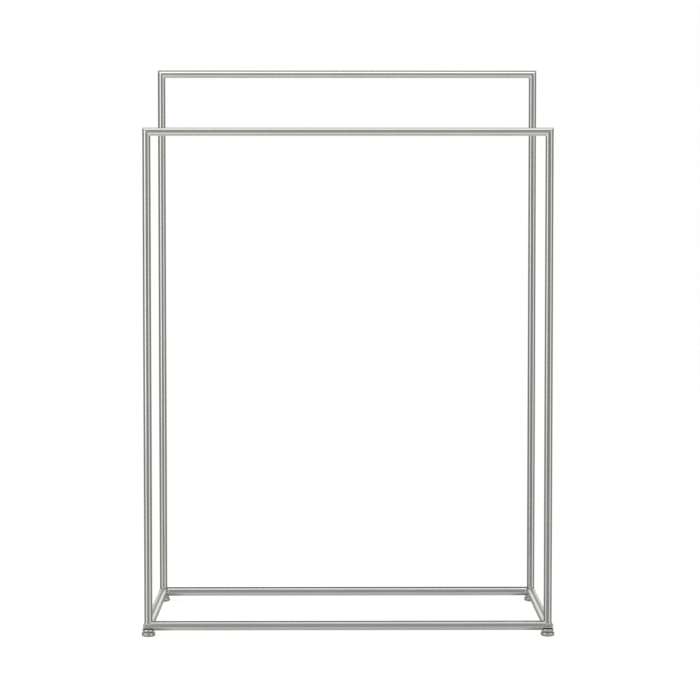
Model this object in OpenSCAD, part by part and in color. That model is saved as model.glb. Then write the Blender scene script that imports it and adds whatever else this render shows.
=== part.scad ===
// Free-standing valet and towel stand: two round-tube frames of different heights, welded to one
// base ring that stands on four screw-adjusted feet.
// X runs across the stand, Y runs from the front frame to the rear frame, and Z is up.
// The origin is on the floor, under the middle of the base ring. All sizes are in millimetres.

/* [Frames] */
// Distance between the axes of a frame's two posts
post_span = 590; // [400:5:800]
// Distance between the front frame's axes and the rear frame's axes
frame_gap = 273; // [150:1:400]
// Height of the front top rail's axis above the floor
front_rail_h = 743.5; // [500:0.5:1000]
// Height of the rear top rail's axis above the floor
rear_rail_h = 843.5; // [500:0.5:1200]
// Outer diameter of the posts and the top rails
post_od = 12; // [11:0.5:13]
// Wall thickness of every tube
tube_wall = 1.2; // [0.8:0.1:1.5]

/* [Base ring] */
// Outer diameter of the four base rails
ring_od = 14; // [13.5:0.5:14.5]
// Height of the base ring's axis above the floor
ring_h = 15.5; // [15.5:0.1:18]
// Diameter of the ball that joins two base rails and a post
ball_d = 16.2; // [15.8:0.1:16.6]

/* [Feet] */
// Diameter of the foot pad
pad_d = 20.4; // [20:0.1:24]
// Height of the foot pad's top above the floor
pad_h = 6; // [5.6:0.1:6.4]
// Height of the open groove between the pad and the socket with the foot screwed home
groove_h = 1; // [0.6:0.1:1.2]
// Diameter of the socket collar under each corner ball
socket_d = 18; // [17.5:0.1:19]
// Height of the socket collar
socket_h = 4.2; // [3.5:0.1:4.6]
// Thread diameter of the levelling stud
stud_d = 8; // [7:0.5:8]
// Diameter of the non-slip liner under the pad
liner_d = 15; // [13:0.1:16]

/* [Hidden] */

$fn = 96;
SATIN_NICKEL = "#a8a9a2";
POLISHED_NICKEL = "#c2c3be";
ZINC_STEEL = "#8f9296";
BLACK_RUBBER = "#2b2b2c";

LEFT = -1;
RIGHT = 1;
FRONT = -1;
REAR = 1;

// Radial clearance of the stud's thread and of its swivel pin
running_gap = 0.05;
// Gap left between two flat faces that turn or slide on each other
face_gap = 0.05;

socket_z = pad_h + groove_h;
bore_d = stud_d + 2 * running_gap;
// The blind thread in the ball stops short of the ball's top
bore_top = ring_h + 5.8;

// Levelling stud: a threaded shank, a thrust shoulder and a swivel pin that is peened in the pad
stud_top = bore_top - 0.7;
stud_chamfer = 0.8;
shoulder_d = 10;
pin_d = 6;
pin_z = 2.2;
washer_d = 10.4;
washer_z = 2.5;
washer_t = 0.8;

// Foot pad: a turned cap, hollow below for the washer and the liner
pad_z = 0.6;
pad_top_round = 3;
pad_bottom_round = 2;
washer_room_d = washer_d + 0.8;
washer_room_top = washer_z + washer_t + 2 * face_gap;
liner_top = 1.7;
liner_room_d = liner_d + 0.2;
liner_room_top = liner_top + 0.1;
liner_round = 0.5;

socket_bottom_round = 1.4;
socket_top_round = 1.8;

// Weld beads: how far a bead stands out from both of the tubes that it joins
bead_leg = 1.3;
bead_half_width = 4.4;
base_bead = 1;

// Bar along X with its middle at the origin
module bar_x(length, diameter) {
    rotate([0, 90, 0]) cylinder(h = length, d = diameter, center = true);
}

// Bar along Y with its middle at the origin
module bar_y(length, diameter) {
    rotate([90, 0, 0]) cylinder(h = length, d = diameter, center = true);
}

// Puts its children on the vertical axis of one corner of the stand
module at_corner(x_side, y_side) {
    translate([x_side * post_span / 2, y_side * frame_gap / 2, 0]) children();
}

// Turns a shape that is drawn for the front left corner to face any other corner
module face_corner(x_side, y_side) {
    mirror([x_side == RIGHT ? 1 : 0, 0, 0])
        mirror([0, y_side == REAR ? 1 : 0, 0])
            children();
}

// Half space at a top corner of a frame, above or below the 45 degree mitre plane.
// In the left corner the plane falls inwards, from the outer corner to the inner corner.
module mitre_block(x_side, above) {
    reach = 2 * post_od;
    third_point = above ? [reach, reach] : [-reach, -reach];
    face_corner(x_side, FRONT)
        rotate([90, 0, 0])
            linear_extrude(height = reach, center = true)
                polygon([[-reach, reach], [reach, -reach], third_point]);
}

// Wedge on the inner side of a base corner, which mitres the two rails against each other
module plan_wedge(x_side, y_side, keep_x_rail) {
    reach = 2 * ring_od;
    third_point = keep_x_rail ? [0, reach] : [reach, 0];
    at_corner(x_side, y_side)
        face_corner(x_side, y_side)
            translate([0, 0, ring_h - reach / 2])
                linear_extrude(height = reach)
                    polygon([[0, 0], [reach, reach], third_point]);
}

module corner_sphere() {
    translate([0, 0, ring_h]) sphere(d = ball_d);
}

// Solid base rails, without their bores or end cuts
module solid_base_rails() {
    for (y_side = [FRONT, REAR])
        translate([0, y_side * frame_gap / 2, ring_h]) bar_x(post_span, ring_od);
    for (x_side = [LEFT, RIGHT])
        translate([x_side * post_span / 2, 0, ring_h]) bar_y(frame_gap, ring_od);
}

// Outline of a disc of revolution with rounded edges, to the right of the axis
module rounded_outline(radius, z_low, z_high, low_round, high_round) {
    band_low = z_low + low_round;
    band_high = z_high - high_round;
    translate([0, band_low]) square([radius, band_high - band_low]);
    translate([0, z_low]) square([radius - low_round, band_high - z_low]);
    translate([0, band_low]) square([radius - high_round, z_high - band_low]);
    intersection() {
        translate([radius - low_round, band_low]) circle(r = low_round);
        translate([0, z_low]) square([radius, band_high - z_low]);
    }
    intersection() {
        translate([radius - high_round, band_high]) circle(r = high_round);
        translate([0, band_low]) square([radius, z_high - band_low]);
    }
}

// Top rail of one frame, mitred at both ends
module top_rail(y_side, rail_h) {
    color(SATIN_NICKEL)
        translate([0, y_side * frame_gap / 2, rail_h])
            difference() {
                bar_x(post_span + post_od, post_od);
                bar_x(post_span + 2 * post_od, post_od - 2 * tube_wall);
                for (x_side = [LEFT, RIGHT])
                    translate([x_side * post_span / 2, 0, 0]) mitre_block(x_side, false);
            }
}

// Post from the base corner up to the mitre, coped over the corner ball and the base rails
module post(x_side, y_side, rail_h) {
    length = rail_h + post_od / 2 - ring_h;
    color(SATIN_NICKEL)
        difference() {
            at_corner(x_side, y_side)
                translate([0, 0, ring_h])
                    difference() {
                        cylinder(h = length, d = post_od);
                        translate([0, 0, -1])
                            cylinder(h = length + 2, d = post_od - 2 * tube_wall);
                        translate([0, 0, rail_h - ring_h]) mitre_block(x_side, true);
                    }
            at_corner(x_side, y_side) corner_sphere();
            solid_base_rails();
        }
}

// Front or rear rail of the base ring
module base_rail_x(y_side) {
    color(SATIN_NICKEL)
        difference() {
            translate([0, y_side * frame_gap / 2, ring_h])
                difference() {
                    bar_x(post_span, ring_od);
                    bar_x(post_span + 2, ring_od - 2 * tube_wall);
                }
            for (x_side = [LEFT, RIGHT]) {
                at_corner(x_side, y_side) corner_sphere();
                plan_wedge(x_side, y_side, true);
            }
        }
}

// Left or right rail of the base ring
module base_rail_y(x_side) {
    color(SATIN_NICKEL)
        difference() {
            translate([x_side * post_span / 2, 0, ring_h])
                difference() {
                    bar_y(frame_gap, ring_od);
                    bar_y(frame_gap + 2, ring_od - 2 * tube_wall);
                }
            for (y_side = [FRONT, REAR]) {
                at_corner(x_side, y_side) corner_sphere();
                plan_wedge(x_side, y_side, false);
            }
        }
}

// Bead in the inner angle of a mitred top corner
module top_corner_bead(x_side) {
    reach = post_od;
    face_corner(x_side, FRONT)
        difference() {
            intersection() {
                cylinder(h = 2 * reach, d = post_od + 2 * bead_leg, center = true);
                bar_x(2 * reach, post_od + 2 * bead_leg);
                translate([0, -bead_half_width, -reach])
                    cube([reach, 2 * bead_half_width, reach]);
            }
            cylinder(h = 3 * reach, d = post_od, center = true);
            bar_x(3 * reach, post_od);
        }
}

module top_corner_welds() {
    color(SATIN_NICKEL)
        for (x_side = [LEFT, RIGHT]) {
            translate([x_side * post_span / 2, FRONT * frame_gap / 2, front_rail_h])
                top_corner_bead(x_side);
            translate([x_side * post_span / 2, REAR * frame_gap / 2, rear_rail_h])
                top_corner_bead(x_side);
        }
}

// Ball and rails of the base, grown by a margin all over
module grown_base(margin) {
    for (x_side = [LEFT, RIGHT], y_side = [FRONT, REAR])
        at_corner(x_side, y_side)
            translate([0, 0, ring_h]) sphere(d = ball_d + 2 * margin);
    for (y_side = [FRONT, REAR])
        translate([0, y_side * frame_gap / 2, ring_h]) bar_x(post_span, ring_od + 2 * margin);
    for (x_side = [LEFT, RIGHT])
        translate([x_side * post_span / 2, 0, ring_h]) bar_y(frame_gap, ring_od + 2 * margin);
}

// Upright bars on the four corners, from the base ring's axis up
module corner_bars(length, diameter) {
    for (x_side = [LEFT, RIGHT], y_side = [FRONT, REAR])
        at_corner(x_side, y_side)
            translate([0, 0, ring_h]) cylinder(h = length, d = diameter);
}

// Bead round the foot of each post, where it stands on its corner ball and the rails
module post_base_welds() {
    color(SATIN_NICKEL)
        difference() {
            intersection() {
                corner_bars(ring_od, post_od + 2 * base_bead);
                grown_base(base_bead);
            }
            corner_bars(2 * ring_od, post_od);
            grown_base(0);
        }
}

// Ball that joins two base rails and a post, tapped from below for the levelling stud
module corner_ball(x_side, y_side) {
    color(SATIN_NICKEL)
        at_corner(x_side, y_side)
            difference() {
                corner_sphere();
                cylinder(h = bore_top, d = bore_d);
            }
}

// Collar that is welded under the corner ball and guides the levelling stud
module foot_socket(x_side, y_side) {
    color(SATIN_NICKEL)
        difference() {
            at_corner(x_side, y_side)
                rotate_extrude()
                    rounded_outline(socket_d / 2, socket_z, socket_z + socket_h,
                                    socket_bottom_round, socket_top_round);
            at_corner(x_side, y_side) corner_sphere();
            at_corner(x_side, y_side) cylinder(h = bore_top, d = bore_d);
            solid_base_rails();
        }
}

// Threaded stud with its thrust shoulder and the swivel pin that carries the pad
module stud(x_side, y_side) {
    shoulder_z = pad_h + face_gap;
    shank_z = socket_z - face_gap;
    color(ZINC_STEEL)
        at_corner(x_side, y_side) {
            translate([0, 0, pin_z]) cylinder(h = shoulder_z - pin_z, d = pin_d);
            translate([0, 0, shoulder_z]) cylinder(h = shank_z - shoulder_z, d = shoulder_d);
            translate([0, 0, shank_z])
                cylinder(h = stud_top - stud_chamfer - shank_z, d = stud_d);
            translate([0, 0, stud_top - stud_chamfer])
                cylinder(h = stud_chamfer, d1 = stud_d, d2 = stud_d - 2 * stud_chamfer);
        }
}

// Washer pressed on the swivel pin, which keeps the pad on the stud
module stud_washer(x_side, y_side) {
    color(ZINC_STEEL)
        at_corner(x_side, y_side)
            translate([0, 0, washer_z])
                difference() {
                    cylinder(h = washer_t, d = washer_d);
                    translate([0, 0, -1]) cylinder(h = washer_t + 2, d = pin_d);
                }
}

// Turned pad with rounded edges, hollow below
module foot_pad(x_side, y_side) {
    color(POLISHED_NICKEL)
        at_corner(x_side, y_side)
            difference() {
                rotate_extrude()
                    rounded_outline(pad_d / 2, pad_z, pad_h, pad_bottom_round, pad_top_round);
                cylinder(h = pad_h + 1, d = pin_d + 2 * running_gap);
                cylinder(h = washer_room_top, d = washer_room_d);
                cylinder(h = liner_room_top, d = liner_room_d);
            }
}

// Non-slip disc pressed into the underside of the pad
module foot_liner(x_side, y_side) {
    color(BLACK_RUBBER)
        at_corner(x_side, y_side)
            rotate_extrude()
                rounded_outline(liner_d / 2, 0, liner_top, liner_round, liner_round);
}

top_rail(FRONT, front_rail_h);  // front_top_rail
post(LEFT, FRONT, front_rail_h);  // front_left_post
post(RIGHT, FRONT, front_rail_h);  // front_right_post
top_rail(REAR, rear_rail_h);  // rear_top_rail
post(LEFT, REAR, rear_rail_h);  // rear_left_post
post(RIGHT, REAR, rear_rail_h);  // rear_right_post
base_rail_x(FRONT);  // base_front_rail
base_rail_x(REAR);  // base_rear_rail
base_rail_y(LEFT);  // base_left_rail
base_rail_y(RIGHT);  // base_right_rail
top_corner_welds();
post_base_welds();
corner_ball(LEFT, FRONT);  // front_left_corner_ball
corner_ball(RIGHT, FRONT);  // front_right_corner_ball
corner_ball(LEFT, REAR);  // rear_left_corner_ball
corner_ball(RIGHT, REAR);  // rear_right_corner_ball
foot_socket(LEFT, FRONT);  // front_left_foot_socket
foot_socket(RIGHT, FRONT);  // front_right_foot_socket
foot_socket(LEFT, REAR);  // rear_left_foot_socket
foot_socket(RIGHT, REAR);  // rear_right_foot_socket
stud(LEFT, FRONT);  // front_left_stud
stud(RIGHT, FRONT);  // front_right_stud
stud(LEFT, REAR);  // rear_left_stud
stud(RIGHT, REAR);  // rear_right_stud
stud_washer(LEFT, FRONT);  // front_left_stud_washer
stud_washer(RIGHT, FRONT);  // front_right_stud_washer
stud_washer(LEFT, REAR);  // rear_left_stud_washer
stud_washer(RIGHT, REAR);  // rear_right_stud_washer
foot_pad(LEFT, FRONT);  // front_left_foot_pad
foot_pad(RIGHT, FRONT);  // front_right_foot_pad
foot_pad(LEFT, REAR);  // rear_left_foot_pad
foot_pad(RIGHT, REAR);  // rear_right_foot_pad
foot_liner(LEFT, FRONT);  // front_left_foot_liner
foot_liner(RIGHT, FRONT);  // front_right_foot_liner
foot_liner(LEFT, REAR);  // rear_left_foot_liner
foot_liner(RIGHT, REAR);  // rear_right_foot_liner
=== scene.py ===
"""Valet stand: two satin nickel tube frames on one base ring with four levelling feet.

Built in metres in the row frame: X across, Y from the front frame to the rear frame, Z up.
"""

import math

import bmesh
import bpy
import numpy as np
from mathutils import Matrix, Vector


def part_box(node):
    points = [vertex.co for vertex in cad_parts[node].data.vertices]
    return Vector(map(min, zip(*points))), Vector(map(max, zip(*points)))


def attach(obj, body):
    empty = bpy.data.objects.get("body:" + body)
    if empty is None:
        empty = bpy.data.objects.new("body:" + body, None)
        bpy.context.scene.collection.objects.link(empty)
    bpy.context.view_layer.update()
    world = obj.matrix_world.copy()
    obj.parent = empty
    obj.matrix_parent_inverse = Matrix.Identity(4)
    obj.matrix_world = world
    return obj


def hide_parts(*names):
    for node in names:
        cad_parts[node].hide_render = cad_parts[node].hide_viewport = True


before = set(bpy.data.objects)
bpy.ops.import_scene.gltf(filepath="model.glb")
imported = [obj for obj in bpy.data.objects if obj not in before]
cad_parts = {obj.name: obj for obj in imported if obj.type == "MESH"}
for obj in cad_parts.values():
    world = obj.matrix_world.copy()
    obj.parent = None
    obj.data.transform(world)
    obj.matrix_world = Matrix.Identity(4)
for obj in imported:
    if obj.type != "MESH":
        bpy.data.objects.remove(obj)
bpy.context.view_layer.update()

MM = 0.001
LEFT, RIGHT = -1, 1
FRONT, REAR = -1, 1
SIDES = {"left": LEFT, "right": RIGHT}
ENDS = {"front": FRONT, "rear": REAR}
FULL_TURN = 2 * math.pi

# ---------------------------------------------------------------- places and sizes from the CAD


def box_middle(node):
    low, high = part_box(node)
    return (low + high) / 2


def box_size(node):
    low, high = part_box(node)
    return high - low


post_x = box_middle("front_right_post").x
frame_y = box_middle("rear_left_post").y
tube_r = box_size("front_left_post").x / 2
rail_z = {end: box_middle(f"{end}_top_rail").z for end in ENDS}
ring_z = box_middle("base_front_rail").z
ring_r = box_size("base_front_rail").z / 2
ball_r = box_size("front_left_corner_ball").x / 2
collar_low, collar_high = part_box("front_left_foot_socket")
pad_low, pad_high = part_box("front_left_foot_pad")
liner_low, liner_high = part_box("front_left_foot_liner")
stud_low, stud_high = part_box("front_left_stud")
collar_r = (collar_high.x - collar_low.x) / 2
pad_r = (pad_high.x - pad_low.x) / 2
liner_r = (liner_high.x - liner_low.x) / 2
shoulder_r = (stud_high.x - stud_low.x) / 2

wall = 1.2 * MM
around = 96

# ---------------------------------------------------------------- materials

NICKEL_TINT = (0.675, 0.680, 0.645)
POLISHED_TINT = (0.70, 0.70, 0.67)
ZINC_TINT = (0.52, 0.54, 0.56)
RUBBER_DARK = (0.018, 0.018, 0.019)
RUBBER_DUSTY = (0.05, 0.05, 0.05)
RUBBER_ROUGH = (0.62, 0.86)
RUBBER_GRAIN = 0.03 * MM
# Painted shade for the gap above each collar: a dark colour, extra roughness and the heights over
# which it fades in.
PAINTED_SHADE_DARK = (0.10, 0.10, 0.095)
JOINT_ROUGHER = 0.3
PAINTED_SHADE_FADE_BELOW = 0.08 * MM
PAINTED_SHADE_FADE_ABOVE = 0.02 * MM
GRAIN_SHARE = 0.6
CLOUD_SHARE = 0.4


def new_shader(name):
    """A material with one Principled shader: (material, node tree, shader)."""
    material = bpy.data.materials.new(name)
    material.use_nodes = True
    tree = material.node_tree
    tree.nodes.clear()
    output = tree.nodes.new("ShaderNodeOutputMaterial")
    shader = tree.nodes.new("ShaderNodeBsdfPrincipled")
    tree.links.new(shader.outputs["BSDF"], output.inputs["Surface"])
    return material, tree, shader


def noise(tree, scales, detail=3.0, rough=0.5):
    """Noise in the object's own coordinates, stretched by a scale for each axis."""
    place = tree.nodes.new("ShaderNodeTexCoord")
    mapping = tree.nodes.new("ShaderNodeMapping")
    mapping.inputs["Scale"].default_value = scales
    texture = tree.nodes.new("ShaderNodeTexNoise")
    texture.inputs["Scale"].default_value = 1.0
    texture.inputs["Detail"].default_value = detail
    texture.inputs["Roughness"].default_value = rough
    tree.links.new(place.outputs["Object"], mapping.inputs["Vector"])
    tree.links.new(mapping.outputs["Vector"], texture.inputs["Vector"])
    return texture.outputs["Fac"]


def spread(tree, value, low, high, source_low=0.3, source_high=0.7):
    """Maps a noise value to the range from low to high."""
    node = tree.nodes.new("ShaderNodeMapRange")
    node.inputs["From Min"].default_value = source_low
    node.inputs["From Max"].default_value = source_high
    node.inputs["To Min"].default_value = low
    node.inputs["To Max"].default_value = high
    tree.links.new(value, node.inputs["Value"])
    return node.outputs["Result"]


def math_node(tree, operation, *values):
    """The result of a sum on one or two values, each a number or another node's result."""
    node = tree.nodes.new("ShaderNodeMath")
    node.operation = operation
    for socket, value in zip(node.inputs, values):
        if isinstance(value, (int, float)):
            socket.default_value = value
        else:
            tree.links.new(value, socket)
    return node.outputs["Value"]


def tinted(tree, factor, dark, light):
    """A colour between dark and light."""
    node = tree.nodes.new("ShaderNodeMix")
    node.data_type = "RGBA"
    tree.links.new(factor, node.inputs["Factor"])
    node.inputs["A"].default_value = (*dark, 1)
    node.inputs["B"].default_value = (*light, 1)
    return node.outputs["Result"]


def bumped(tree, shader, height, distance):
    """Raises the shader's surface by up to a distance, in metres."""
    node = tree.nodes.new("ShaderNodeBump")
    node.inputs["Distance"].default_value = distance
    node.inputs["Strength"].default_value = 1.0
    tree.links.new(height, node.inputs["Height"])
    tree.links.new(node.outputs["Normal"], shader.inputs["Normal"])


def metal(name, tint, grain, rough_low, rough_high, cloud=22.0, depth=0.0015 * MM, shade=0.035,
          painted_shade_above=None):
    """Metal with a fine grain along one axis, cloudy tone and a gloss that varies with both.

    Above a given height it is painted dark and rougher: painted shade for the shadowed gap where the
    collar's neck sits up in the knuckle.
    """
    material, tree, shader = new_shader(name)
    shader.inputs["Metallic"].default_value = 1.0
    lines = noise(tree, grain, detail=2.5, rough=0.6)
    clouds = noise(tree, (cloud, cloud, cloud), detail=4.0)
    mixed = math_node(tree, "ADD", math_node(tree, "MULTIPLY", lines, GRAIN_SHARE),
                      math_node(tree, "MULTIPLY", clouds, CLOUD_SHARE))
    dark = tuple(c * (1 - shade) for c in tint)
    light = tuple(min(1.0, c * (1 + shade)) for c in tint)
    colour = tinted(tree, spread(tree, mixed, 0.0, 1.0), dark, light)
    gloss = spread(tree, mixed, rough_low, rough_high)
    # Painted shade: above the height the colour fades to a dark one, for the shadowed gap under the
    # knuckle.
    if painted_shade_above is not None:
        place = tree.nodes.new("ShaderNodeTexCoord")
        split = tree.nodes.new("ShaderNodeSeparateXYZ")
        tree.links.new(place.outputs["Object"], split.inputs["Vector"])
        inside = spread(tree, split.outputs["Z"], 0.0, 1.0,
                        painted_shade_above - PAINTED_SHADE_FADE_BELOW, painted_shade_above + PAINTED_SHADE_FADE_ABOVE)
        mixer = tree.nodes.new("ShaderNodeMix")
        mixer.data_type = "RGBA"
        tree.links.new(inside, mixer.inputs["Factor"])
        tree.links.new(colour, mixer.inputs["A"])
        mixer.inputs["B"].default_value = (*PAINTED_SHADE_DARK, 1)
        colour = mixer.outputs["Result"]
        rougher = math_node(tree, "MULTIPLY", inside, JOINT_ROUGHER)
        gloss = math_node(tree, "ADD", gloss, rougher)
    tree.links.new(colour, shader.inputs["Base Color"])
    tree.links.new(gloss, shader.inputs["Roughness"])
    bumped(tree, shader, lines, depth)
    return material


GRAIN_LONG = 26.0
GRAIN_ACROSS = 2600.0
TUBE_ROUGH = (0.15, 0.20)
satin_x = metal("satin_nickel_x", NICKEL_TINT, (GRAIN_LONG, GRAIN_ACROSS, GRAIN_ACROSS), *TUBE_ROUGH)
satin_y = metal("satin_nickel_y", NICKEL_TINT, (GRAIN_ACROSS, GRAIN_LONG, GRAIN_ACROSS), *TUBE_ROUGH)
satin_z = metal("satin_nickel_z", NICKEL_TINT, (GRAIN_ACROSS, GRAIN_ACROSS, GRAIN_LONG), *TUBE_ROUGH)
satin_cast = metal("satin_nickel_cast", NICKEL_TINT, (900.0, 900.0, 900.0), 0.22, 0.28, cloud=120.0)
satin_weld = metal("satin_nickel_weld", NICKEL_TINT, (700.0, 700.0, 700.0), 0.26, 0.36, cloud=300.0)

# Turned and polished metal has its grain round the axis, so it is finest up the height.
TURNED_GRAIN = (150.0, 150.0, 3500.0)
TURNED = {"rough_low": 0.16, "rough_high": 0.22, "cloud": 90.0, "depth": 0.002 * MM, "shade": 0.05}
polished = metal("polished_nickel", POLISHED_TINT, TURNED_GRAIN, **TURNED)
# The collar's top face and neck are painted dark, as painted shade in the gap under the knuckle.
collar_metal = metal("collar_nickel", POLISHED_TINT, TURNED_GRAIN, painted_shade_above=collar_high.z, **TURNED)
zinc = metal("zinc_plate", ZINC_TINT, (400.0, 400.0, 1500.0), 0.28, 0.42, cloud=260.0,
             depth=0.008 * MM, shade=0.12)


def rubber_material():
    """Black rubber with a fine grain and patches of dust."""
    material, tree, shader = new_shader("liner_rubber")
    grain = noise(tree, (1800.0, 1800.0, 1800.0), detail=4.0)
    dust = noise(tree, (140.0, 140.0, 140.0), detail=5.0)
    colour = tinted(tree, spread(tree, dust, 0.0, 1.0), RUBBER_DARK, RUBBER_DUSTY)
    tree.links.new(colour, shader.inputs["Base Color"])
    tree.links.new(spread(tree, grain, *RUBBER_ROUGH), shader.inputs["Roughness"])
    bumped(tree, shader, grain, RUBBER_GRAIN)
    return material


rubber = rubber_material()

# ---------------------------------------------------------------- mesh helpers

SHARP_ANGLE = math.radians(32)


def add_piece(name, mesh, material, body, slot, *nodes):
    """Puts a mesh in the scene as a piece of a body, in place of the named CAD nodes."""
    mesh.materials.append(material)
    piece = bpy.data.objects.new(name, mesh)
    bpy.context.scene.collection.objects.link(piece)
    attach(piece, body)
    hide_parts(*nodes)
    return piece


def mesh_from_bmesh(name, work):
    """Closes up the work, turns its faces outwards and marks its sharp edges."""
    bmesh.ops.remove_doubles(work, verts=work.verts, dist=1e-7)
    bmesh.ops.recalc_face_normals(work, faces=work.faces)
    for face in work.faces:
        face.smooth = True
    for edge in work.edges:
        edge.smooth = edge.calc_face_angle(0.0) < SHARP_ANGLE
    mesh = bpy.data.meshes.new(name)
    work.to_mesh(mesh)
    work.free()
    return mesh


def add_rings(work, rings, close_rows=True):
    """Adds quads over an array of rings (rows, columns, 3). Each ring closes on itself."""
    rows, columns = rings.shape[:2]
    made = [[work.verts.new(point) for point in ring] for ring in rings]
    for row in range(rows if close_rows else rows - 1):
        near, far = made[row], made[(row + 1) % rows]
        for column in range(columns):
            after = (column + 1) % columns
            work.faces.new((near[column], near[after], far[after], far[column]))


def ring_mesh(name, *solids, close_rows=True):
    """A mesh of one or more solids, each an array of rings."""
    work = bmesh.new()
    for rings in solids:
        add_rings(work, np.asarray(rings, float), close_rows)
    return mesh_from_bmesh(name, work)


angles = np.arange(around) * FULL_TURN / around
cosines, sines = np.cos(angles), np.sin(angles)


def ring_along_x(x, radius, y, z):
    """Ring of points round an X axis. Angle 0 is at the bottom."""
    return np.stack([x + 0 * angles, y + radius * sines, z - radius * cosines], axis=1)


def ring_along_y(y, radius, x, z):
    """Ring of points round a Y axis. Angle 0 is at the bottom."""
    return np.stack([x + radius * sines, y + 0 * angles, z - radius * cosines], axis=1)


def ring_along_z(z, radius, x, y, side):
    """Ring of points round a Z axis. Angle 0 is on the inner side of a left or right post."""
    return np.stack([x - side * radius * cosines, y + radius * sines, z + 0 * angles], axis=1)


def filleted(corners, steps=6):
    """Outline through (r, z, radius) corners, with each corner rounded to its radius."""
    points = []
    count = len(corners)
    for index, (r, z, radius) in enumerate(corners):
        here = Vector((r, z))
        if radius == 0:
            points.append(here)
            continue
        before = Vector(corners[(index - 1) % count][:2]) - here
        after = Vector(corners[(index + 1) % count][:2]) - here
        half = before.angle(after) / 2
        reach = radius / math.tan(half)
        first = here + before.normalized() * reach
        last = here + after.normalized() * reach
        middle = here + (before.normalized() + after.normalized()).normalized() * (
            radius / math.sin(half))
        start = first - middle
        finish = last - middle
        sweep = start.angle_signed(finish)
        for step in range(steps + 1):
            turn = -sweep * step / steps
            points.append(middle + Vector((
                start.x * math.cos(turn) - start.y * math.sin(turn),
                start.x * math.sin(turn) + start.y * math.cos(turn))))
    return np.array([tuple(point) for point in points])


def lathed(outline, x, y, columns=around):
    """Rings of an (r, z) outline turned round a Z axis."""
    turns = np.arange(columns) * FULL_TURN / columns
    radii, heights = outline[:, 0:1], outline[:, 1:2]
    return np.stack([
        x + radii * np.cos(turns),
        y + radii * np.sin(turns),
        heights + 0 * turns,
    ], axis=2)


# ---------------------------------------------------------------- base corner, as a blended solid

stub = 11.0 * MM            # reach of the corner piece along each rail
mitre_blend = 3.0 * MM
swell_start = 1.0 * MM      # full swelling up to here, measured along a rail from the corner
swell_end = 10.0 * MM       # no swelling from here
swell_drop = 0.8 * MM       # how much lower the swelling hangs
swell_flat = 0.08           # share that the swelling loses of its height
gap_r = collar_r + 0.4 * MM
gap_top = 12.9 * MM
gap_edge = 0.5 * MM
cell = 0.4 * MM


def smooth_low(first, second, width):
    """The lower of two values, with a smooth change from one to the other."""
    share = np.maximum(width - np.abs(first - second), 0) / width
    return np.minimum(first, second) - share * share * width / 4


def corner_field(x, y, z):
    """Below zero inside a base corner whose rails run to +X and +Y from the post's axis.

    The two rails meet at a mitre. Both swell as they come to it, and the swelling hangs a
    little lower than the rails. A round gap is cut up into it for the collar's neck.
    """
    across = smooth_low(x, y, mitre_blend)
    along = -smooth_low(-x, -y, mitre_blend)
    share = np.clip((swell_end - along) / (swell_end - swell_start), 0, 1)
    swell = share * share * (3 - 2 * share)
    height = (z + swell_drop * swell) * (1 + swell_flat * swell)
    knuckle = np.sqrt(across * across + height * height) - ring_r - (ball_r - ring_r) * swell
    beside = gap_r - np.sqrt(x * x + y * y)
    below = gap_top - ring_z - z
    return -smooth_low(-knuckle, -smooth_low(beside, below, gap_edge), gap_edge)


def field_slope(field, points, step=1e-6):
    """Slope of a field at each point, which is also the way its surface faces."""
    slopes = []
    for axis in range(3):
        ahead, behind = points.copy(), points.copy()
        ahead[:, axis] += step
        behind[:, axis] -= step
        slopes.append((field(*ahead.T) - field(*behind.T)) / (2 * step))
    return np.stack(slopes, axis=1)


def field_surface(field, low, high, step):
    """Vertices and quads of a field's zero surface, with every vertex on that surface."""
    axes = [np.arange(a, b + step, step) for a, b in zip(low, high)]
    grid = np.meshgrid(*axes, indexing="ij")
    inside = field(*grid) < 0
    corners = np.zeros([n - 1 for n in inside.shape], int)
    for i in (0, 1):
        for j in (0, 1):
            for k in (0, 1):
                corners += inside[i:i + corners.shape[0], j:j + corners.shape[1],
                                  k:k + corners.shape[2]]
    cells = np.argwhere((corners > 0) & (corners < 8))
    number = -np.ones(corners.shape, int)
    number[tuple(cells.T)] = np.arange(len(cells))
    points = (cells + 0.5) * step + np.array([axis[0] for axis in axes])
    for _ in range(6):
        slope = field_slope(field, points)
        size = np.maximum((slope * slope).sum(1, keepdims=True), 1e-6)
        points = points - slope * field(*points.T)[:, None] / size
    quads = []
    for axis in range(3):
        near = [slice(None)] * 3
        far = [slice(None)] * 3
        near[axis], far[axis] = slice(0, -1), slice(1, None)
        crossing = np.argwhere(inside[tuple(near)] != inside[tuple(far)])
        first, second = [a for a in range(3) if a != axis]
        for edge in crossing:
            around_edge = []
            for a, b in ((-1, -1), (0, -1), (0, 0), (-1, 0)):
                spot = edge.copy()
                spot[first] += a
                spot[second] += b
                if (spot < 0).any() or (spot >= corners.shape).any():
                    break
                around_edge.append(number[tuple(spot)])
            if len(around_edge) == 4 and min(around_edge) >= 0:
                quads.append(around_edge)
    return points, quads


def cut_and_cap(work, place, normal):
    """Cuts the work at a plane, drops what lies beyond it and closes the cut."""
    everything = list(work.verts) + list(work.edges) + list(work.faces)
    bmesh.ops.bisect_plane(work, geom=everything, plane_co=place, plane_no=normal,
                           clear_outer=True, dist=1e-7)
    rim = [e for e in work.edges if e.is_boundary
           and all(abs((v.co - Vector(place)).dot(Vector(normal))) < 1e-6 for v in e.verts)]
    bmesh.ops.contextual_create(work, geom=rim)


margin = 3 * cell
corner_points, corner_quads = field_surface(
    corner_field, (-ball_r - margin,) * 3, (stub + margin, stub + margin, ball_r + margin), cell)


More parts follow.
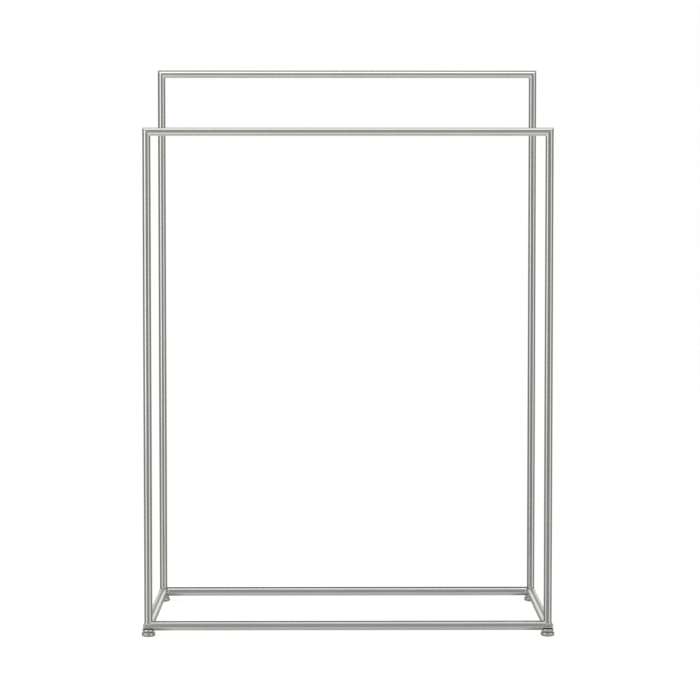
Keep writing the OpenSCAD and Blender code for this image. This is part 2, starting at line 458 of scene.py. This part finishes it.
def corner_mesh(name, side, end):
    """The base corner's mesh, turned to face one corner of the stand."""
    work = bmesh.new()
    made = [work.verts.new(point) for point in corner_points]
    for quad in corner_quads:
        work.faces.new([made[index] for index in quad])
    cut_and_cap(work, (stub, 0, 0), (1, 0, 0))
    cut_and_cap(work, (0, stub, 0), (0, 1, 0))
    x, y = side * post_x, end * frame_y
    for vertex in work.verts:
        vertex.co = Vector((x - side * vertex.co.x, y - end * vertex.co.y, ring_z + vertex.co.z))
    mesh = mesh_from_bmesh(name, work)
    count = len(mesh.vertices)
    spots = np.zeros(count * 3)
    mesh.vertices.foreach_get("co", spots)
    spots = spots.reshape(count, 3)
    local = np.stack([-side * (spots[:, 0] - x), -end * (spots[:, 1] - y), spots[:, 2] - ring_z],
                     axis=1)
    slope = field_slope(corner_field, local)
    slope /= np.linalg.norm(slope, axis=1, keepdims=True)
    normals = slope * np.array([-side, -end, 1])
    flat_x = np.abs(local[:, 0] - stub) < 1e-6
    flat_y = np.abs(local[:, 1] - stub) < 1e-6
    per_loop = []
    for polygon in mesh.polygons:
        on_cap = all(flat_x[v] for v in polygon.vertices) or all(flat_y[v] for v in polygon.vertices)
        for vertex in polygon.vertices:
            per_loop.append(tuple(polygon.normal) if on_cap else tuple(normals[vertex]))
    mesh.normals_split_custom_set(per_loop)
    return mesh


search_top = 12 * MM
halvings = 40


def base_height(x, y):
    """Height above the ring's axis of a base corner's upper surface, by halving."""
    low, high = np.zeros_like(x), np.full_like(x, search_top)
    for _ in range(halvings):
        middle = (low + high) / 2
        outside = corner_field(x, y, middle) > 0
        high = np.where(outside, middle, high)
        low = np.where(outside, low, middle)
    return (low + high) / 2


# ---------------------------------------------------------------- rails, posts and welds

inner_toe = 1.5 * MM        # weld width to each side of the mitre, inside the corner
outer_toe = 0.7 * MM        # and outside it
toe_falloff = 1.4
toe = outer_toe + (inner_toe - outer_toe) * (0.5 + 0.5 * cosines) ** toe_falloff
weld_steps = 12
weld_crown = 0.10 * MM
ripple = 0.018 * MM
ripples_around = 34
foot_sink = 0.3 * MM        # depth of a post's foot in the base corner
bore_r = tube_r - wall


def top_z(end):
    """Height of a frame's top rail."""
    return rail_z["front" if end == FRONT else "rear"]


def mitre_inset(radius):
    """How far a mitred tube end stands back from the corner's centre, all round the tube."""
    return np.maximum(tube_r * cosines + toe, radius * cosines)


def top_rail_rings(end):
    """Tube with a wall, mitred at both ends."""
    y, z = end * frame_y, top_z(end)
    rings = []
    for side, radius in ((LEFT, tube_r), (RIGHT, tube_r), (RIGHT, bore_r), (LEFT, bore_r)):
        x = side * (post_x - mitre_inset(radius))
        rings.append(ring_along_x(x, radius, y, z))
    return rings


def post_rings(side, end):
    """Tube with a wall, mitred above and shaped to the base corner below."""
    x, y = side * post_x, end * frame_y
    top = top_z(end)
    rings = []
    for low, radius in ((True, tube_r), (False, tube_r), (False, bore_r), (True, bore_r)):
        if low:
            height = base_height(radius * cosines, -end * radius * sines)
            z = ring_z + height - foot_sink
        else:
            z = top - mitre_inset(radius)
        rings.append(ring_along_z(z, radius, x, y, side))
    return rings


def curve_between(first, control, last, steps):
    """Points on a curve that leaves first and reaches last along the lines through control."""
    for step in range(steps + 1):
        t = step / steps
        yield t, (1 - t) ** 2 * first + 2 * t * (1 - t) * control + t * t * last


def top_weld_rings(side, end):
    """Weld over the mitre seam: a fillet inside the corner that rounds the tip outside it."""
    x, y, z = side * post_x, end * frame_y, top_z(end)
    seam = np.stack([x - side * tube_r * cosines, y + tube_r * sines, z - tube_r * cosines], axis=1)
    on_rail = seam + np.outer(toe, (-side, 0, 0))
    on_post = seam + np.outer(toe, (0, 0, -1))
    outward = np.stack([-side * cosines, 2 * sines, -cosines], axis=1)
    outward /= np.linalg.norm(outward, axis=1, keepdims=True)
    waves = weld_crown + ripple * np.cos(ripples_around * angles)
    rings = []
    for t, points in curve_between(on_rail, seam, on_post, weld_steps):
        lift = waves * math.sin(math.pi * t) ** 2
        rings.append(points + outward * lift[:, None])
    root = np.stack([x - side * bore_r * cosines, y + bore_r * sines, z - bore_r * cosines], axis=1)
    inset = mitre_inset(bore_r)
    post_root = np.stack([root[:, 0], root[:, 1], z - inset], axis=1)
    rail_root = np.stack([x - side * inset, root[:, 1], root[:, 2]], axis=1)
    rings += [post_root, root, rail_root]
    return rings


bead_up = 1.3 * MM
bead_out = 1.2 * MM
bead_root = 0.5 * MM        # depth of the bead's hidden root
bead_ripple = 0.04
bead_steps = 8


def post_weld_rings(side, end):
    """Weld fillet round the foot of a post, on top of the base corner."""
    x, y = side * post_x, end * frame_y
    across = -end * sines
    foot = base_height(tube_r * cosines, tube_r * across)
    reach = tube_r + bead_out * (1 + bead_ripple * np.cos(ripples_around * angles))
    out = base_height(reach * cosines, reach * across)
    first = np.stack([tube_r + 0 * foot, foot + bead_up], axis=1)
    control = np.stack([tube_r + 0 * foot, foot], axis=1)
    last = np.stack([reach, out], axis=1)
    profile = [points for _, points in curve_between(first, control, last, bead_steps)]
    profile.append(np.stack([reach, out - bead_root], axis=1))
    profile.append(np.stack([tube_r - bead_root + 0 * foot, foot - bead_root], axis=1))
    profile.append(np.stack([tube_r - bead_root + 0 * foot, foot + bead_up], axis=1))
    rings = []
    for points in profile:
        radii, heights = points[:, 0], points[:, 1]
        rings.append(np.stack([x - side * radii * cosines, y + radii * sines, ring_z + heights],
                              axis=1))
    return rings


def tube_rings(ring, reach, *place):
    """Straight tube with a wall, from -reach to reach, made of rings along one axis."""
    ends = ((-reach, ring_r), (reach, ring_r), (reach, ring_r - wall), (-reach, ring_r - wall))
    return [ring(along, radius, *place) for along, radius in ends]


def add_tube(node, rings, material):
    add_piece(f"{node}_tube", ring_mesh(node, rings), material, "frame", "satin_nickel_tube", node)


for end_name, end in ENDS.items():
    add_tube(f"{end_name}_top_rail", top_rail_rings(end), satin_x)
    for side_name, side in SIDES.items():
        add_tube(f"{end_name}_{side_name}_post", post_rings(side, end), satin_z)
    base_rings = tube_rings(ring_along_x, post_x - stub, end * frame_y, ring_z)
    add_tube(f"base_{end_name}_rail", base_rings, satin_x)

for side_name, side in SIDES.items():
    base_rings = tube_rings(ring_along_y, frame_y - stub, side * post_x, ring_z)
    add_tube(f"base_{side_name}_rail", base_rings, satin_y)

for name, weld_rings, node in (("top_corner_weld_beads", top_weld_rings, "top_corner_welds"),
                               ("post_base_weld_beads", post_weld_rings, "post_base_welds")):
    beads = [weld_rings(side, end) for side in SIDES.values() for end in ENDS.values()]
    add_piece(name, ring_mesh(name, *beads), satin_weld, "frame", "satin_nickel_weld", node)

# ---------------------------------------------------------------- feet

thread_r = 3.98 * MM
thread_depth = 0.66 * MM
pitch = 1.25 * MM
thread_crest = 1.35         # over 1, so that the crest of the thread is flat
thread_flank = 4 * 0.85     # slope of its flanks
bore_clear_r = 4.05 * MM
neck_r = 6.4 * MM           # collar's neck, up inside the gap in the knuckle
neck_top = gap_top + 0.1 * MM
pin_r = 3.0 * MM
pin_clear_r = pin_r + 0.05 * MM
shoulder_low = pad_high.z + 0.05 * MM
shoulder_high = collar_low.z - 0.05 * MM


def collar_outline():
    """Collar with a slightly bellied side, and a neck up into the knuckle."""
    low, high = collar_low.z, collar_high.z
    slant = 0.40 * MM
    belly_r, belly_z = collar_r + 0.04 * MM, low + 2.3 * MM
    return filleted([
        (bore_clear_r, low, 0.25 * MM),
        (collar_r - slant, low, 0.8 * MM),
        (belly_r, belly_z, 2.0 * MM),
        (collar_r - slant, high, 1.2 * MM),
        (neck_r, high, 0),
        (neck_r, neck_top, 0),
        (bore_clear_r, neck_top, 0),
    ], steps=10)


def pad_outline():
    """Foot cap with a bellied side, a recess for the liner and a well for the washer."""
    low, high = pad_low.z, pad_high.z
    belly_r, belly_z = pad_r + 0.02 * MM, low + 3.0 * MM
    recess_r, recess_top = liner_r + 0.1 * MM, liner_high.z + 0.1 * MM
    well_r, well_top = 5.6 * MM, 3.4 * MM
    return filleted([
        (pin_clear_r, high, 0.2 * MM),
        (pad_r - 0.30 * MM, high, 0.9 * MM),
        (belly_r, belly_z, 2.0 * MM),
        (pad_r - 0.65 * MM, low, 1.2 * MM),
        (recess_r, low, 0.15 * MM),
        (recess_r, recess_top, 0),
        (well_r, recess_top, 0),
        (well_r, well_top, 0),
        (pin_clear_r, well_top, 0),
    ], steps=10)


def liner_outline():
    """Moulded disc with four ring grooves below and a soft edge."""
    low, high = liner_low.z, liner_high.z
    groove_top, groove_half, groove_top_half = low + 0.45 * MM, 0.45 * MM, 0.3 * MM
    points = [(0, high, 0), (liner_r, high, 0.4 * MM), (liner_r, low, 0.5 * MM)]
    for groove in (5.9, 4.4, 2.9, 1.4):
        middle = groove * MM
        points += [
            (middle + groove_half, low, 0.1 * MM),
            (middle + groove_top_half, groove_top, 0.1 * MM),
            (middle - groove_top_half, groove_top, 0.1 * MM),
            (middle - groove_half, low, 0.1 * MM),
        ]
    points.append((0, low, 0))
    return filleted(points, steps=3)


def stud_rings(x, y, columns=48, rows_per_pitch=12):
    """Levelling stud with a real helical thread, a thrust shoulder and a swivel pin."""
    turns = np.arange(columns) * FULL_TURN / columns
    shank_low = shoulder_high + 0.5 * MM
    chamfer, pin_bevel, bevel = 0.8 * MM, 0.3 * MM, 0.15 * MM
    run_in = 0.8 * pitch
    rows = [(0, stud_low.z), (pin_r - pin_bevel, stud_low.z), (pin_r, stud_low.z + pin_bevel),
            (pin_r, shoulder_low), (shoulder_r - bevel, shoulder_low),
            (shoulder_r, shoulder_low + bevel), (shoulder_r, shoulder_high - bevel),
            (shoulder_r - bevel, shoulder_high), (thread_r - thread_depth, shoulder_high)]
    rings = [lathed(np.array([row]), x, y, columns)[0] for row in rows]
    count = int((stud_high.z - shank_low) / pitch * rows_per_pitch)
    for height in np.linspace(shank_low, stud_high.z, count):
        phase = ((height / pitch) - turns / FULL_TURN) % 1.0
        tooth = np.clip(thread_crest - thread_flank * np.abs(phase - 0.5), 0, 1)
        fade = min(1.0, (height - shank_low) / run_in)
        radius = thread_r - thread_depth * (1 - tooth * fade)
        limit = thread_r - max(0.0, height - (stud_high.z - chamfer))
        radius = np.minimum(radius, limit)
        rings.append(np.stack([x + radius * np.cos(turns), y + radius * np.sin(turns),
                               height + 0 * turns], axis=1))
    rings.append(lathed(np.array([(0, stud_high.z)]), x, y, columns)[0])
    return rings


for side_name, side in SIDES.items():
    for end_name, end in ENDS.items():
        corner = f"{end_name}_{side_name}"
        x, y = side * post_x, end * frame_y
        add_piece(f"{corner}_corner_joint", corner_mesh(f"{corner}_corner_joint", side, end),
                  satin_cast, "frame", "satin_nickel_fitting", f"{corner}_corner_ball")
        add_piece(f"{corner}_foot_collar",
                  ring_mesh("collar", lathed(collar_outline(), x, y)),
                  collar_metal, "frame", "satin_nickel_fitting", f"{corner}_foot_socket")
        add_piece(f"{corner}_levelling_stud",
                  ring_mesh("stud", stud_rings(x, y), close_rows=False),
                  zinc, f"{corner}_stud", "zinc_plated_steel", f"{corner}_stud")
        add_piece(f"{corner}_foot_cap", ring_mesh("cap", lathed(pad_outline(), x, y)),
                  polished, f"{corner}_foot", "polished_nickel", f"{corner}_foot_pad")
        add_piece(f"{corner}_rubber_disc",
                  ring_mesh("disc", lathed(liner_outline(), x, y), close_rows=False),
                  rubber, f"{corner}_foot", "liner_rubber", f"{corner}_foot_liner")
        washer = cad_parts[f"{corner}_stud_washer"]
        washer.data.materials.clear()
        washer.data.materials.append(zinc)

# ---------------------------------------------------------------- floor

FLOOR_HALF = 6.0
FLOOR_COLOUR = (0.80, 0.80, 0.79, 1)
CAMERA_GLOW = 0.72
# The glow that the floor shows in reflections is painted light; it is weaker near the stand and near
# the feet as painted shade.
NEAR_GLOW = 0.20            # glow in reflections, up to NEAR_REACH from the stand's middle
FAR_GLOW = 0.54             # and from FAR_REACH on
NEAR_REACH = 0.24
FAR_REACH = 1.0
FOOT_SHADE = (0.020, 0.036)     # distances from a foot's axis over which the glow comes in
FOOT_SOLID = (0.035, 0.055)     # and over which the floor can turn clear
SKIMMING = (0.62, 0.74)         # layer weight over which the floor turns clear


def stage_material():
    """Pale floor with a glow that depends on what sees it.

    The camera sees it as bright as the backdrop. In reflections its glow is painted light on the
    floor, darker near the stand as painted shade and gone close to the feet as a painted contact
    shadow, and it lets rays that skim it through to the sky. It is clear from below.
    """
    material = bpy.data.materials.new("studio_floor")
    material.use_nodes = True
    tree = material.node_tree
    tree.nodes.clear()
    output = tree.nodes.new("ShaderNodeOutputMaterial")
    diffuse = tree.nodes.new("ShaderNodeBsdfDiffuse")
    diffuse.inputs["Color"].default_value = FLOOR_COLOUR
    glow = tree.nodes.new("ShaderNodeEmission")
    path = tree.nodes.new("ShaderNodeLightPath")
    place = tree.nodes.new("ShaderNodeTexCoord")
    reach = tree.nodes.new("ShaderNodeVectorMath")
    reach.operation = "LENGTH"
    tree.links.new(place.outputs["Object"], reach.inputs[0])
    seen = spread(tree, path.outputs["Is Camera Ray"], 0.0, CAMERA_GLOW, 0.0, 1.0)
    mirrored = spread(tree, reach.outputs["Value"], NEAR_GLOW, FAR_GLOW, NEAR_REACH, FAR_REACH)
    both = tree.nodes.new("ShaderNodeAddShader")
    tree.links.new(diffuse.outputs["BSDF"], both.inputs[0])
    tree.links.new(glow.outputs["Emission"], both.inputs[1])
    clear = tree.nodes.new("ShaderNodeBsdfTransparent")
    facing = tree.nodes.new("ShaderNodeNewGeometry")
    angle = tree.nodes.new("ShaderNodeLayerWeight")
    angle.inputs["Blend"].default_value = 0.5
    grazing = spread(tree, angle.outputs["Facing"], 0.0, 1.0, *SKIMMING)
    spot = tree.nodes.new("ShaderNodeSeparateXYZ")
    tree.links.new(place.outputs["Object"], spot.inputs["Vector"])
    from_foot = []
    for axis, centre in (("X", post_x), ("Y", frame_y)):
        beside = math_node(tree, "ABSOLUTE", spot.outputs[axis])
        offset = math_node(tree, "ABSOLUTE", math_node(tree, "SUBTRACT", beside, centre))
        from_foot.append(math_node(tree, "POWER", offset, 2.0))
    foot_gap = math_node(tree, "SQRT", math_node(tree, "ADD", *from_foot))
    away = spread(tree, foot_gap, 0.0, 1.0, *FOOT_SOLID)
    # Painted shade: the glow seen in reflections fades out close to each foot.
    lit = math_node(tree, "MULTIPLY", mirrored, spread(tree, foot_gap, 0.0, 1.0, *FOOT_SHADE))
    tree.links.new(math_node(tree, "MAXIMUM", seen, lit), glow.inputs["Strength"])
    skimmed = math_node(tree, "MULTIPLY", math_node(tree, "MULTIPLY", grazing, away),
                        path.outputs["Is Glossy Ray"])
    hidden = math_node(tree, "MAXIMUM", skimmed, facing.outputs["Backfacing"])
    sides = tree.nodes.new("ShaderNodeMixShader")
    tree.links.new(hidden, sides.inputs["Fac"])
    tree.links.new(both.outputs["Shader"], sides.inputs[1])
    tree.links.new(clear.outputs["BSDF"], sides.inputs[2])
    tree.links.new(sides.outputs["Shader"], output.inputs["Surface"])
    return material


floor_mesh = bpy.data.meshes.new("studio_floor")
floor_mesh.from_pydata(
    [(-FLOOR_HALF, -FLOOR_HALF, 0), (FLOOR_HALF, -FLOOR_HALF, 0),
     (FLOOR_HALF, FLOOR_HALF, 0), (-FLOOR_HALF, FLOOR_HALF, 0)], [], [(0, 1, 2, 3)])
floor_mesh.materials.append(stage_material())
floor = bpy.data.objects.new("studio_floor", floor_mesh)
bpy.context.scene.collection.objects.link(floor)
floor.visible_shadow = False

# ---------------------------------------------------------------- light

DEG = math.pi / 180
world = bpy.data.worlds.new("studio")
bpy.context.scene.world = world
world.use_nodes = True
sky = world.node_tree
sky.nodes.clear()
sky_place = sky.nodes.new("ShaderNodeTexCoord")
sky_split = sky.nodes.new("ShaderNodeSeparateXYZ")
sky.links.new(sky_place.outputs["Generated"], sky_split.inputs["Vector"])
toward_x, toward_y, toward_z = (sky_split.outputs[name] for name in "XYZ")
azimuth = math_node(sky, "ARCTAN2", toward_x, math_node(sky, "MULTIPLY", toward_y, -1.0))
elevation = math_node(sky, "ARCSINE", toward_z)


def step_between(value, start, finish):
    """0 at start and 1 at finish, with a smooth rise or fall between them."""
    node = sky.nodes.new("ShaderNodeMapRange")
    node.interpolation_type = "SMOOTHSTEP"
    low, high = (start, finish) if start < finish else (finish, start)
    node.inputs["From Min"].default_value = low
    node.inputs["From Max"].default_value = high
    node.inputs["To Min"].default_value = 0.0 if start < finish else 1.0
    node.inputs["To Max"].default_value = 1.0 if start < finish else 0.0
    sky.links.new(value, node.inputs["Value"])
    return node.outputs["Result"]


def panel(az, az_half, el, el_half, edge_az, edge_el):
    """A softbox in the sky, in degrees. Azimuth 0 is towards the camera, and 90 is +X."""
    parts = [
        step_between(azimuth, (az - az_half - edge_az) * DEG, (az - az_half + edge_az) * DEG),
        step_between(azimuth, (az + az_half + edge_az) * DEG, (az + az_half - edge_az) * DEG),
        step_between(elevation, (el - el_half - edge_el) * DEG, (el - el_half + edge_el) * DEG),
        step_between(elevation, (el + el_half + edge_el) * DEG, (el + el_half - edge_el) * DEG),
    ]
    total = parts[0]
    for part in parts[1:]:
        total = math_node(sky, "MULTIPLY", total, part)
    return total


def lobe(direction, inner, outer):
    """A round patch of sky about a direction, bright within inner and gone by outer degrees."""
    aim = Vector(direction).normalized()
    parts = [math_node(sky, "MULTIPLY", axis, value)
             for axis, value in zip((toward_x, toward_y, toward_z), aim)]
    dot = math_node(sky, "ADD", math_node(sky, "ADD", parts[0], parts[1]), parts[2])
    return step_between(dot, math.cos(outer * DEG), math.cos(inner * DEG))


def wall_behind():
    """A low bright wall behind the stand, with soft upper and lower edges."""
    bottom = step_between(elevation, -10 * DEG, 3 * DEG)
    top = step_between(elevation, 15.5 * DEG, 5 * DEG)
    return math_node(sky, "MULTIPLY", lobe((0, 1.0, 0), 17, 34),
                     math_node(sky, "MULTIPLY", bottom, top))


HORIZON = 0.35
total = HORIZON
for patch, strength in (
        (panel(53, 12, 8, 28, 10, 12), 1.22),       # tall softbox to the right
        (panel(0, 30, 16, 8, 15, 8), 0.29),         # wide card above the camera
        (panel(0, 50, -22, 6, 15, 7), 0.20),        # wide card below it
        (lobe((0, -0.42, 0.91), 10, 26), 0.61),     # high front light
        (lobe((0, 0.5, 0.87), 6, 26), -0.20),       # darker patch high behind
        (lobe((0, 0, -1.0), 30, 84), 0.48),         # light from below, for the undersides
        (wall_behind(), 0.75)):
    total = math_node(sky, "ADD", math_node(sky, "MULTIPLY", patch, strength), total)
sky_path = sky.nodes.new("ShaderNodeLightPath")
lighting = sky.nodes.new("ShaderNodeBackground")
sky.links.new(total, lighting.inputs["Strength"])
backdrop = sky.nodes.new("ShaderNodeBackground")
backdrop.inputs["Color"].default_value = (1.0, 1.0, 1.0, 1)
backdrop.inputs["Strength"].default_value = 1.0
pick = sky.nodes.new("ShaderNodeMixShader")
sky.links.new(sky_path.outputs["Is Camera Ray"], pick.inputs["Fac"])
sky.links.new(lighting.outputs["Background"], pick.inputs[1])
sky.links.new(backdrop.outputs["Background"], pick.inputs[2])
sky_output = sky.nodes.new("ShaderNodeOutputWorld")
sky.links.new(pick.outputs["Shader"], sky_output.inputs["Surface"])

bpy.context.scene.view_settings.view_transform = "Standard"


def softbox(name, place, aim, width, height, radiance):
    """Area light that faces a point, with its radiance in place of its power."""
    data = bpy.data.lights.new(name, "AREA")
    data.shape = "RECTANGLE"
    data.size = width
    data.size_y = height
    data.energy = radiance * math.pi * width * height
    light = bpy.data.objects.new(name, data)
    bpy.context.scene.collection.objects.link(light)
    light.location = place
    light.rotation_mode = "QUATERNION"
    light.rotation_quaternion = (Vector(aim) - Vector(place)).to_track_quat("-Z", "Y")
    light.visible_camera = False
    return light


softbox("overhead_softbox", (0, -0.08, 1.15), (0, -0.08, 0), 1.6, 0.42, 0.92)
softbox("left_softbox", (-1.16, -0.96, 0.92), (0, 0, 0.92), 0.78, 1.50, 0.45)
softbox("left_softbox_low", (-1.22, -1.01, 0.62), (0, 0, 0.62), 0.80, 2.00, 0.78)
softbox("rear_card", (0, 2.1, 0.36), (0, 0, 0.36), 0.42, 0.30, 0.45)

# ---------------------------------------------------------------- camera

SENSOR_WIDTH = 36.0
LENS = 108.0
SHIFT_UP = -0.0764
VIEW_END = 50.0
CAMERA_PLACE = (-0.0171, -3.2157, 0.6427)
YAW = 0.37 * DEG            # to the right of straight ahead
PITCH = 2.61 * DEG          # below level

camera_data = bpy.data.cameras.new("camera")
camera_data.sensor_width = SENSOR_WIDTH
camera_data.lens = LENS
camera_data.shift_y = SHIFT_UP
camera_data.clip_end = VIEW_END
camera = bpy.data.objects.new("camera", camera_data)
bpy.context.scene.collection.objects.link(camera)
camera.location = CAMERA_PLACE
camera_aim = Vector((math.sin(YAW) * math.cos(PITCH), math.cos(YAW) * math.cos(PITCH),
                     -math.sin(PITCH)))
camera.rotation_mode = "QUATERNION"
camera.rotation_quaternion = camera_aim.to_track_quat("-Z", "Y")
bpy.context.scene.camera = camera
